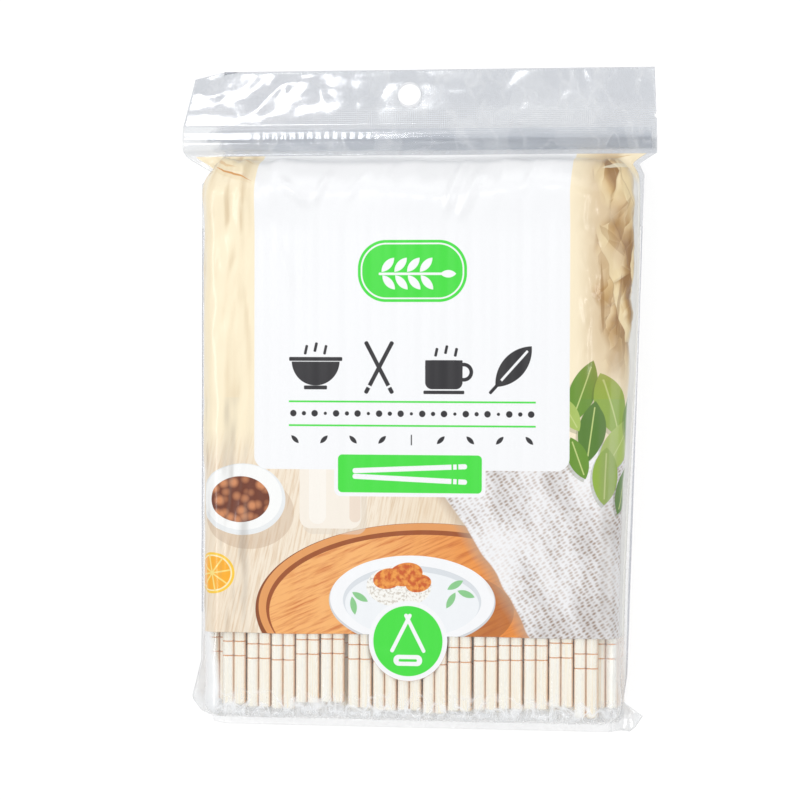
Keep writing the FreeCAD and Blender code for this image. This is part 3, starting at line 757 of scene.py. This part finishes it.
def panel_print(zone):
    """The white panel and what stands on it: plain signs in place of words."""
    lay = zone.lay
    lay(WHITE, bar, 1.2, 60, 72.9, 92, 6)
    # an oval with a sprig
    lay(GREEN, bar, 1.8, 58.5, 25.2, 14.1, 13)
    lay(WHITE, bar, 1.8, 58.5, 23.9, 12.8, 11.8)
    lay(GREEN, bar, 1.8, 58.5, 23.2, 12.1, 11.2)
    lay(WHITE, bar, 1.8, 57.2, 15.5, 0.55, 0.4)
    for x in (-9.5, -3.6, 2.3, 8.2):
        lay(WHITE, leaf, x, 61.3, 4.3, 1.75, 48)
        lay(WHITE, leaf, x + 0.4, 53.3, 4.3, 1.75, -48)
    lay(WHITE, leaf, 18.4, 57.2, 3.6, 1.7)
    # four dark signs: a bowl, crossed sticks, a cup and a leaf
    lay(INK, disc, -43, 17.5, 11.2)
    lay(WHITE, bar, -43, 24.2, 13, 7.0, 0.1)
    lay(INK, bar, -43, 18.4, 12.4, 0.9, 0.5)
    lay(INK, bar, -43, 5.4, 5.4, 0.9, 0.5)
    for x, lift in ((-47.5, 0), (-43, 1.2), (-38.5, 0)):
        lay(INK, bar, x, 22.6 + lift, 2.2, 0.65, 0.5, 78)
    for turn in (62, 118):
        lay(INK, bar, -13.5, 14.6, 13.4, 0.95, 0.8, turn)
        lay(WHITE, bar, -13.5 - 9.8 * math.cos(math.radians(turn)), 5.9, 0.5, 1.2, 0.1, turn)
    lay(INK, disc, 25.6, 12.6, 4.3)
    lay(WHITE, disc, 25.6, 12.6, 2.6)
    lay(INK, bar, 16.5, 11.4, 8.6, 6.6, 3.2)
    lay(INK, bar, 16.5, 15.8, 8.6, 2.2, 0.4)
    for x, lift in ((13.0, 0), (17.5, 1.2), (22.0, 0)):
        lay(INK, bar, x, 21.6 + lift, 2.0, 0.65, 0.5, 78)
    lay(INK, bar, 16.5, 3.4, 9.4, 0.8, 0.5)
    lay(INK, leaf, 48.5, 15.2, 12.4, 5.4, 48)
    lay(WHITE, bar, 48.0, 14.6, 10.4, 0.55, 0.4, 48)
    lay(INK, bar, 40.2, 5.9, 4.0, 0.75, 0.6, 48)
    # two rules with a row of dots, and a row of small marks
    for level in (-1.0, -11.9):
        lay(GREEN, bar, 1.6, level, 57.1, 0.42, 0.05)
    for i in range(23):
        lay(INK, disc, -53.4 + i * 5.0, -6.4, (1.5, 1.0, 1.5, 0.75)[i % 4])
    for i in range(9):
        if i == 4:
            lay(INK, bar, 1.6, -18.3, 0.28, 2.4, 0.1)
        else:
            lay(INK, leaf, -52.6 + i * 13.55, -18.3, 2.5, 1.0, 45 if i % 2 else -45)
    # the green tag with a pair of sticks
    lay(WHITE, bar, 0.8, -33.75, 35.0, 10.4, 3.2)
    lay(GREEN, bar, 0.8, -33.75, 33.3, 8.65, 2.0)
    for lift, turn in ((2.4, 2.5), (-2.4, -2.5)):
        lay(WHITE, bar, 0.8, -33.75 + lift, 26.5, 1.15, 1.1, turn)
        lay(GREEN, bar, 20.5, -33.75 + lift * 1.36, 0.4, 1.6, 0.1, turn)
        lay(GREEN, bar, 22.9, -33.75 + lift * 1.4, 0.4, 1.6, 0.1, turn)


def disc_print(zone):
    """The round mark that stands over the foot of the print."""
    lay = zone.lay
    lay(WHITE, disc, *MARK_AT, MARK_RIM)
    lay(GREEN, disc, *MARK_AT, 16.0)
    for turn, shift in ((63, -3.2), (117, 3.2)):
        lay(WHITE, bar, 0.2 + shift, -106.2, 9.8, 0.85, 0.8, turn)
    lay(WHITE, bar, 0.2, -118.6, 6.6, 2.5, 2.4)
    lay(GREEN, bar, 0.2, -118.6, 4.2, 0.6, 0.5)


def shaded_facets(point, scale, wander, stretch, turn):
    """Crumple facets, each sloping its own way: their tone, a painted shade lighter or darker by each facet's
    slope, and how far a point is from the nearest crease.
    """
    warp = new_node(point.tree, "TexNoise", Vector=point, Scale=scale * 0.8, Detail=1)
    drift = Field(point.tree, warp.outputs["Color"]).vector("MULTIPLY", (wander, wander, 0))
    seen = local(drift.vector("ADD", point), 0, 0, turn).vector("DIVIDE", (*stretch, 1))
    near, edge = (new_node(point.tree, "TexVoronoi", Vector=seen, Scale=scale) for _ in range(2))
    near.voronoi_dimensions = edge.voronoi_dimensions = "2D"
    edge.feature = "DISTANCE_TO_EDGE"
    away = seen.vector("SUBTRACT", Field(point.tree, near.outputs["Position"]))
    chance = Field(point.tree, near.outputs["Color"])
    slope = chance.vector("SUBTRACT", (0.5, 0.5, 0.5)).vector("MULTIPLY", (3.4, 2.2, 0))
    across = away.vector("DOT_PRODUCT", slope, output=1) * scale
    tone = parts(chance)[2] * 0.55 + 0.22 + across
    return tone, Field(point.tree, edge.outputs["Distance"])


def crushed_side(zone):
    """Lays the crushed strip on the right, tan to brown facets of painted shade and light between sharp
    creases, with painted dark creases and pale painted crease highlights, and gives its height.
    """
    point, x, y = zone.point, zone.x, zone.y
    wander = texture(point, 0.055, 1) * 22 - 11
    strip = (x + wander).above(89.2, 2.6) * (x + wander * 0.35).below(100.0, 1.2)
    strip = strip * y.above(20, 12) * y.below(108.5, 2.5)
    tone, creases = shaded_facets(point, 0.105, 5.5, (0.70, 3.3), 9)
    small_facet_shade, fine_creases = shaded_facets(point, 0.20, 3.0, (0.62, 2.6), -12)
    # painted shade: the facets are laid from light tan to brown by the slope of each
    facet_shade = tone * 0.76 + small_facet_shade * 0.24
    colour = over((240, 218, 172), (206, 168, 112), facet_shade.above(0.22, 0.24))
    colour = over(colour, (156, 114, 60), facet_shade.above(0.52, 0.22))
    # painted shade in the creases, and a painted highlight along the fine creases
    colour = over(colour, (140, 100, 54), creases.below(0.018, 0.026) * 0.40)
    colour = over(colour, (244, 226, 188), fine_creases.below(0.012, 0.02) * 0.18)
    zone.fill(colour, strip)
    # dark fold lines of painted shade
    folds = ((91.5, 72, 8.0, 1.5, -62, 0.32), (95.2, 87, 5.5, 0.9, 66, 0.32), (88.6, 47, 16, 0.45, 91, 0.55),
             (93.6, 43, 14, 0.55, 87, 0.55))
    for x, y, reach, width, turn, part in folds:
        zone.lay((150, 106, 52), leaf, x, y, reach, width, turn, part=part)
    return (creases * 1.5 + fine_creases * 0.35) * strip


def flap_crease_shade(zone):
    """Painted shade along the crease of the flap folded over beside the header, under it and in the wrinkles
    above it, with the flap itself laid a little darker; on the right, a painted shaded crease beside a painted
    highlight.
    """
    lay = zone.lay
    lay((240, 222, 184), bar, -86, 106.8, 11.5, 3.4, 1.5, -10, part=0.55)
    lay((240, 214, 170), leaf, -83.6, 100.9, 11.0, 1.2, -16.2, part=0.35)
    lay((222, 160, 92), leaf, -83.6, 101.9, 10.4, 0.42, -16.2)
    for x, y, reach, turn in ((-85, 110.2, 12.0, -3), (-83, 107.9, 9.0, -7), (-89, 105.9, 7.5, -13)):
        lay((226, 190, 140), leaf, x, y, reach, 0.4, turn, part=0.75)
    lay((222, 190, 142), leaf, 93, 109.6, 15.0, 0.6, 8, part=0.8)
    lay((250, 240, 212), leaf, 97, 104.0, 9.0, 1.1, 4, part=0.7)


def film_haze(zone):
    """How milky the clear parts of the front film are: the seals, and painted glare laid as milky white on the
    pressed left end of the zip and down both sides of the window.
    """
    point, x, y = zone.point, zone.x, zone.y
    patches = texture(point, 0.045, 2, 0.5, (1.0, 1.3)).above(0.52, 0.015)
    veins = (texture(point, 0.072, 2, 0.55, (1.0, 1.6)) * 2 - 1).math("ABSOLUTE").below(0.035, 0.03)
    haze = (patches * 0.45 + veins * 0.55) * (0.16 if zone.low[1] > PRINT_TOP - 35 else 0.03) + 0.02
    if zone.high[1] > PRINT_TOP:
        dots = cells(point, 1.14, 0.0).below(0.34, 0.1) * y.above(121.5, 1.0) * y.below(135, 3.0)
        haze = haze + dots * 0.24
        if zone.low[0] < -PRINT_SIDE:
            # painted glare: milky white over the pressed left end of the zip
            pressed = (x + texture(point, 0.06, 2, 0.5, (1.0, 0.5)) * 34 - 17).below(-98, 4)
            haze = haze.math("MAXIMUM", pressed * y.below(126.5, 1.0) * 0.55)
    if zone.low[1] < PRINT_FOOT:
        crinkle = (texture(point, 0.12, 1, 0.5, (1.0, 1.4)) * 2 - 1).math("ABSOLUTE").below(0.05, 0.05)
        crinkled = y.below(-136.0, 4.0) * y.above(-147.5, 1.0) * x.below(96, 3.0)
        haze = haze + crinkle * crinkled * 0.45
        if zone.low[0] < -PRINT_SIDE:
            # painted glare: milky white down the left side of the window
            side = (x - texture(point, 0.05, 1) * 8).below(-93.5, 1.8)
            haze = haze.math("MAXIMUM", side * y.above(-145.5, 2.0) * 0.72)
        if zone.high[0] > PRINT_SIDE:
            # painted glare: milky streaks down the right side of the window
            streaks = texture(point, 0.22, 1, 0.5, (1.0, 6.0)).above(0.5, 0.12)
            haze = haze.math("MAXIMUM", x.above(92, 4.0) * streaks * 0.30)
            haze = haze.math("MAXIMUM", x.above(108, 4.0) * y.below(-128, 6.0) * 0.38)
    return haze


def printed_film(name, low, high):
    """The front film in one zone: print with gloss, clear over the window, the header and the seals."""
    material, tree = new_material(name)
    zone = Zone(tree, low, high)
    table_picture(zone)
    height = texture(zone.point, 1.6, 3, 0.6) * 0.012
    if high[0] > RIGHT_FOLDS_FROM or low[0] < LEFT_FOLDS_TO:
        # painted shade of the folds: tan over the cream, grey-brown over the picture below
        zone.fill(FOLD_SHADE if low[1] >= 0 else (150, 142, 134), zone.shade * 0.95)
        # painted light: near-white over the print on the side walls, below the flap
        wall_glare = zone.x.math("ABSOLUTE").above(WALL_GLARE_FROM, 1.2) * zone.y.below(101, 3)
        zone.fill((254, 253, 248), wall_glare * 0.92)
        if high[0] > RIGHT_FOLDS_FROM and low[1] >= 0:
            height = height + crushed_side(zone)
        if high[1] > FLAP_FROM:
            flap_crease_shade(zone)
    panel_print(zone)
    disc_print(zone)
    normal = bumped(tree, height, 1.0, 0.001)
    made = printed = new_node(tree, "BsdfPrincipled", Base_Color=zone.colour, Roughness=0.33,
                              Normal=normal, Coat_Weight=0.35, Coat_Roughness=0.12)
    if low[0] < -PRINT_SIDE or high[0] > PRINT_SIDE or low[1] < PRINT_FOOT or high[1] > PRINT_TOP:
        wavy = texture(zone.point, 0.02, 1) * 1.6 - 0.8
        ink = (zone.y + wavy).above(PRINT_FOOT) * zone.y.below(PRINT_TOP)
        ink = ink * zone.x.math("ABSOLUTE").below(PRINT_SIDE, 0.3)
        ink = ink.math("MAXIMUM", disc(zone.point, *MARK_AT, MARK_RIM))
        tint = FILM_TINT
        if high[1] > PRINT_TOP:
            rail = zone.y.above(114.2, 0.5) * zone.y.below(119.2, 0.7)
            # painted shade: the rail darker towards the right
            tint = over(HEADER_TINT, over(ZIP_TINT_LEFT, ZIP_TINT, zone.x.above(-10, 75)), rail)
        elif low[0] < -PRINT_SIDE or high[0] > PRINT_SIDE:
            edge_line = (zone.x + EDGE_SHIFT).math("ABSOLUTE").above(EDGE_LINE, 0.5) * zone.y.above(-134, 5)
            tint = over(FILM_TINT, EDGE_TINT, edge_line)
        made = mixed(tree, ink, clear_film(tree, tint, film_haze(zone), normal), printed)
    return finished(material, made)


def zone_materials(obj, print_at):
    """Cuts the print into zones, and gives each face the material of its own."""
    mesh = obj.data
    corners = np.zeros(len(mesh.polygons), int)
    mesh.polygons.foreach_get("loop_start", corners)
    first = np.zeros(len(mesh.loops), int)
    mesh.loops.foreach_get("vertex_index", first)
    at = print_at[first[corners]]
    column = np.searchsorted(ZONE_X, at[:, 0])
    row = np.searchsorted(ZONE_Y, at[:, 1])
    wide = len(ZONE_X) + 1
    end_x, end_y = PRINT_REACH
    xs, ys = [-end_x, *ZONE_X, end_x], [-end_y, *ZONE_Y, end_y]
    mesh.materials.clear()
    for j in range(len(ys) - 1):
        for i in range(wide):
            made = printed_film(f"printed_film_{j}_{i}", (xs[i], ys[j]), (xs[i + 1], ys[j + 1]))
            mesh.materials.append(made)
    mesh.polygons.foreach_set("material_index", (row * wide + column).astype(np.int32))


def bag_film():
    """The clear film of the bag's back, lightly embossed."""
    material, tree = new_material("clear_film")
    point = scaled_position(tree)
    normal = bumped(tree, texture(point, 0.4), 0.35, 0.0002)
    haze = texture(point, 0.35, 2, 0.6).above(0.5, 0.3) * 0.08
    tint = over(FILM_TINT, HEADER_TINT, parts(point)[1].above(PRINT_TOP))
    return finished(material, clear_film(tree, tint, haze, normal))


def sleeve_film():
    """Thin crisp film: fine creases that catch the light, thick with them where a sleeve is pressed shut."""
    material, tree = new_material("sleeve_film")
    point = scaled_position(tree)
    _, y, _ = parts(point)
    cloud = texture(point, 0.20, 2, 0.55)
    ends = (y + cloud * 14 - 7).below(-137.5, 3.0).math("MAXIMUM", y.above(87.0, 3.0))
    veins = (texture(point, 0.21, 1, 0.5, (1.0, 1.5)) * 2 - 1).math("ABSOLUTE")
    creases = veins.below(0.06, 0.05) * (ends * 0.6 + 0.05)
    milky = creases + ends * cloud.above(0.49, 0.06) * 0.26 + ends * 0.10 + 0.010
    normal = bumped(tree, veins * (ends * 2 + 0.5), 0.6, 0.0004)
    return finished(material, clear_film(tree, SLEEVE_TINT, milky, normal))


def bamboo(name, centre_x, centre_z, pitch):
    """Pale bamboo with fibres along the stick, a tone for each stick, painted shade in orange-brown along the
    sides of each stick where it meets the next, and stain in the two turned rings.
    """
    material, tree = new_material(name)
    point = scaled_position(tree)
    x, y, z = parts(point)
    shifted = (x - (centre_x - 50 * pitch)) * (1 / pitch)
    stick = shifted.math("FLOOR")
    inside = (shifted - stick - 0.5) * pitch
    away = (inside.math("POWER", 2.0) + (z - centre_z).math("POWER", 2.0)).math("SQRT")
    tone = new_node(tree, "TexWhiteNoise")
    tone.noise_dimensions = "1D"
    tree.links.new(stick.socket, tone.inputs["W"])
    tone = Field(tree, tone.outputs["Value"])
    grain = texture(point, 1.0, 3, 0.6, (0.45, 26.0))
    fibre = texture(point, 1.0, 2, 0.5, (0.16, 40.0))
    colour = over((255, 253, 242), (255, 241, 213), tone * 0.9)
    colour = over(colour, (255, 254, 247), grain.above(0.50, 0.12) * 0.75)
    colour = over(colour, (244, 214, 168), fibre.above(0.62, 0.06) * 0.4)
    # painted shade: orange-brown towards the sides of each stick, between neighbours
    colour = over(colour, (226, 168, 104), inside.math("ABSOLUTE").above(2.38, 0.4) * 0.75)
    ring = away.below(STICK_RADIUS - 0.12, 0.06) * y.below(-105, 1.0) * y.above(-132, 0.4)
    colour = over(colour, (222, 150, 80), ring)
    colour = over(colour, (226, 190, 140), y.below(-143.0, 0.5) * 0.5)
    normal = bumped(tree, fibre + grain, 0.25, 0.0002)
    return finished(material, new_node(tree, "BsdfPrincipled", Base_Color=colour, Roughness=0.55,
                                       Normal=normal, Specular_IOR_Level=0.3))


def zip_plastic():
    """Milky moulded strip."""
    material, tree = new_material("zip_plastic")
    streaks = texture(scaled_position(tree), 0.6, 2, 0.5, (18.0, 0.6))
    colour = over((242, 244, 247), (224, 227, 232), streaks.above(0.55, 0.2))
    normal = bumped(tree, streaks, 0.2, 0.0002)
    solid = new_node(tree, "BsdfPrincipled", Base_Color=colour, Roughness=0.3, Normal=normal)
    clear = new_node(tree, "BsdfTransparent", Color=(0.95, 0.96, 0.97, 1))
    return finished(material, mixed(tree, 0.32, clear, solid))


# The sleeves


def sleeve_points(centre_x, centre_z, start, stop, stick_start, stick_stop, ring_count, around, seed):
    """Rings of points of one closed sleeve, pressed flat and crumpled beyond the ends of its sticks."""
    end_rings = 10 if around > 30 else 5
    full_start, full_stop = stick_start - PRESS_GAP, stick_stop + PRESS_GAP
    foot = np.linspace(start, full_start, end_rings)
    tip = np.linspace(full_stop, stop, end_rings - 1)
    ys = np.concatenate([foot, np.linspace(full_start, full_stop, ring_count + 2)[1:-1], tip])
    angle = np.linspace(0, 2 * math.pi, around, endpoint=False)
    flat = SLEEVE_HALF_WIDTH - SLEEVE_HALF_HEIGHT
    across = np.cos(angle)
    cx = across * SLEEVE_HALF_HEIGHT + np.sign(across) * flat * np.minimum(1, np.abs(across) * 3)
    cz = np.sin(angle) * SLEEVE_HALF_HEIGHT
    side = np.where(cz >= 0, 1.0, -1.0)
    points = []
    for y in ys:
        closing = min(smooth(start, full_start, y), smooth(-stop, -full_stop, -y))
        closed = 1 - closing
        high = 0.05 + 0.95 * math.sqrt(max(0.0, 1 - closed**2))
        line = np.full(around, y)
        dents = crumple(cx / 3.4 + side * 3, line / 2.7, seed) * 3.4 * min(1.0, 3 * closed) * closing
        zig = (noise(cx / 2.4, np.full(around, seed * 3.1), seed + 5) - 0.5) * 3.0 * closed
        shrink = 1 - 0.06 * noise(line / 4, cx / 3 + side, seed + 9)
        z = cz * high * shrink - side * dents * (np.abs(cz) / SLEEVE_HALF_HEIGHT) + zig
        z = np.clip(z, -SLEEVE_HALF_HEIGHT, SLEEVE_HALF_HEIGHT)
        points.append(np.stack([centre_x + cx * (1 - 0.04 * closed), line, centre_z + z], -1))
    return np.array(points)


def tube_faces(ring_count, around, first):
    """Faces of a closed tube with its two ends capped by strips across the flat seal."""
    faces = []
    for i in range(ring_count - 1):
        for j in range(around):
            a, b = first + i * around + j, first + i * around + (j + 1) % around
            faces.append((a, b, b + around, a + around))
    for ring, turn in ((0, 1), (ring_count - 1, -1)):
        base = first + ring * around
        half = around // 2
        for j in range(half):
            quad = [base + n % around for n in (j, j + 1, around - 1 - j, around - j)]
            quad = [q for k, q in enumerate(quad) if q not in quad[:k]]
            if len(quad) > 2:
                faces.append(tuple(quad[::-turn]))
    return faces


def dress(node, material):
    """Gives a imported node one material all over."""
    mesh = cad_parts[node].data
    mesh.materials.clear()
    mesh.materials.append(material)
    mesh.polygons.foreach_set("material_index", [0] * len(mesh.polygons))


def stand_for(piece, node):
    """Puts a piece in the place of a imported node."""
    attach(piece, "root")
    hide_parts(node)


def wrapped_row(sticks, sleeves, wood, piece, pair_count, pitch, seed, rings, around):
    """Dresses the sticks of one node, and draws the sleeves round its pairs anew."""
    (low, high), (start, stop) = mm_box(sticks), [corner[1] for corner in mm_box(sleeves)]
    middle = (low + high) / 2
    dress(sticks, bamboo(wood, middle[0], middle[2], pitch))
    height = sum(corner[2] for corner in mm_box(sleeves)) / 2
    vertices, faces = [], []
    for i, x in enumerate(middle[0] + (np.arange(pair_count) - (pair_count - 1) / 2) * PAIR_PITCH):
        points = sleeve_points(x, height, start, stop, low[1], high[1], rings, around, seed + i)
        faces += tube_faces(len(points), around, sum(len(v) for v in vertices))
        vertices.append(points.reshape(-1, 3))
    stand_for(new_object(piece, np.concatenate(vertices), faces, sleeve_clear), sleeves)


# The pack put together

bag_clear = bag_film()
sleeve_clear = sleeve_film()
strip = zip_plastic()

for name in ("front_film", "back_film"):
    front = name == "front_film"
    points, print_at, hole = film_points(front)
    film, print_at = closed_sheet(name + "_shell", points, print_at, hole, bag_clear)
    if front:
        zone_materials(film, print_at)
    stand_for(film, name)

dress("zip_channel_strip", strip)
dress("zip_rib_strip", strip)

for i in range(PAIR_COUNT):
    number = f"{i + 1:02d}"
    wrapped_row("chopstick_pair_" + number, "pair_sleeve_" + number, "bamboo_" + number, "sleeve_" + number,
                1, STICK_PITCH, 40 + 3 * i, 30, 48)
for layer in range(1, HIDDEN_LAYERS + 1):
    wrapped_row(f"chopsticks_layer_{layer}", f"sleeves_layer_{layer}", f"bamboo_layer_{layer}",
                f"sleeves_row_{layer}", PAIRS_PER_LAYER, PAIR_PITCH / 2, 90 + 20 * layer, 6, 24)


# Floor, light and camera


def white_floor():
    """White where the camera or a reflection sees it, with a soft share of the shadow left in."""
    material, tree = new_material("white_floor")
    path = new_node(tree, "LightPath").outputs
    seen = Field(tree, path["Is Camera Ray"])
    for ray in ("Is Glossy Ray", "Is Transmission Ray"):
        seen = seen.math("MAXIMUM", Field(tree, path[ray]))
    glow = new_node(tree, "Emission", Color=(1, 1, 1, 1), Strength=seen * 0.87)
    matt = new_node(tree, "BsdfDiffuse", Color=(0.2, 0.2, 0.2, 1))
    total = new_node(tree, "AddShader")
    tree.links.new(glow.outputs[0], total.inputs[0])
    tree.links.new(matt.outputs[0], total.inputs[1])
    return finished(material, total)


def softbox(name, place, aim, size, power):
    """A soft rectangular lamp that looks at a point."""
    light = bpy.data.lights.new(name, "AREA")
    light.shape = "RECTANGLE"
    light.size, light.size_y = size
    light.energy = power
    lamp = placed(name, light)
    lamp.location = place
    lamp.rotation_euler = (Vector(aim) - Vector(place)).to_track_quat("-Z", "Y").to_euler()


corners = [(x * FLOOR_REACH, y * FLOOR_REACH, FLOOR_Z) for x, y in ((-1, -1), (1, -1), (1, 1), (-1, 1))]
mesh = bpy.data.meshes.new("floor")
mesh.from_pydata(corners, [], [(0, 1, 2, 3)])
mesh.materials.append(white_floor())
placed("floor", mesh)

softbox("left_softbox", (-1.25, 0.1, 1.25), (-0.05, 0, 0), (1.8, 0.34), 8.5)
softbox("back_softbox", (-0.50, 0.42, 1.7), (0, 0.05, 0), (0.30, 0.22), 2.2)
softbox("header_softbox", (0.2, 1.6, 0.8), (0, 0.1, 0), (1.8, 0.8), 5)
softbox("right_softbox", (1.5, -0.2, 0.9), (0, 0, 0), (1.0, 1.4), 7)

scene = bpy.context.scene
scene.world = bpy.data.worlds.new("studio")
scene.world.use_nodes = True
sky = scene.world.node_tree.nodes["Background"].inputs
sky["Color"].default_value = (0.97, 0.985, 1.0, 1)
sky["Strength"].default_value = 0.64

camera_data = bpy.data.cameras.new("camera")
camera_data.sensor_width = 36
camera_data.lens = 157.76
camera_data.clip_start = 0.05
camera = placed("camera", camera_data)
camera.location = (0.2965, 0.021, 1.6)
camera.rotation_euler = [math.radians(a) for a in (-0.73, 10.86, 0.16)]
scene.camera = camera
scene.view_settings.view_transform = "Standard"
scene.cycles.transparent_max_bounces = 32
